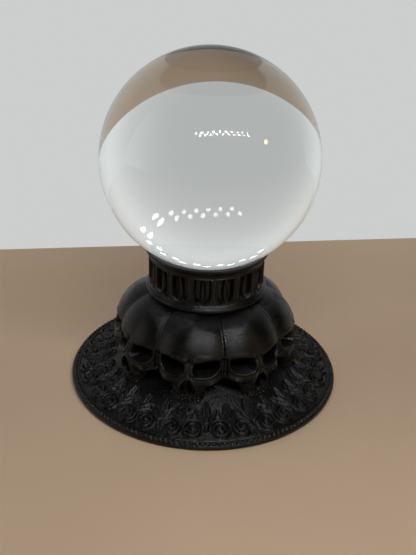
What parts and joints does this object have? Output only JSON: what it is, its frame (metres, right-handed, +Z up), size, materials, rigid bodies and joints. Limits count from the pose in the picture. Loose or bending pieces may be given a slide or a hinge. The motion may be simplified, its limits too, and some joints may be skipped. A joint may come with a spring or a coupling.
{
  "type": "crystal ball",
  "caption": "Clear glass sphere resting in the fluted cup of a black stand: a ring of skulls on a round base plate with scroll relief.",
  "frame": {"origin": "on the table, under the middle of the base plate, at the underside of the rubber feet", "axes": "+Z up through the middle of the ball; the first skull faces -Y"},
  "size_m": [0.132, 0.132, 0.1625],
  "materials": {
    "glass": "clear, polished",
    "print": "black, satin, with fine layer lines",
    "seal": "black, matte",
    "feet": "black, matte",
    "steel": "plain zinc-plated"
  },
  "bodies": {
    "stand": {"collar": "print", "core": "print", "base_plate": "print", "skull_1": "print", "skull_2": "print", "skull_3": "print", "skull_4": "print", "skull_5": "print", "skull_6": "print", "skull_7": "print", "skull_8": "print", "base_screws": "steel", "foot_pad_1": "feet", "foot_pad_2": "feet", "foot_pad_3": "feet", "foot_pad_4": "feet"},
    "seat": {"seat_ring": "seal"},
    "ball": {"crystal_ball": "glass"}
  },
  "joints": [
    {"name": "ball_turn", "type": "hinge", "parent": "stand", "child": "seat", "pos_m": [0, 0, 0.0672], "axis": [0, 0, 1], "continuous": true},
    {"name": "ball_lift", "type": "slide", "parent": "seat", "child": "ball", "axis": [0, 0, 1], "range_m": [0, 0.08]}
  ]
}
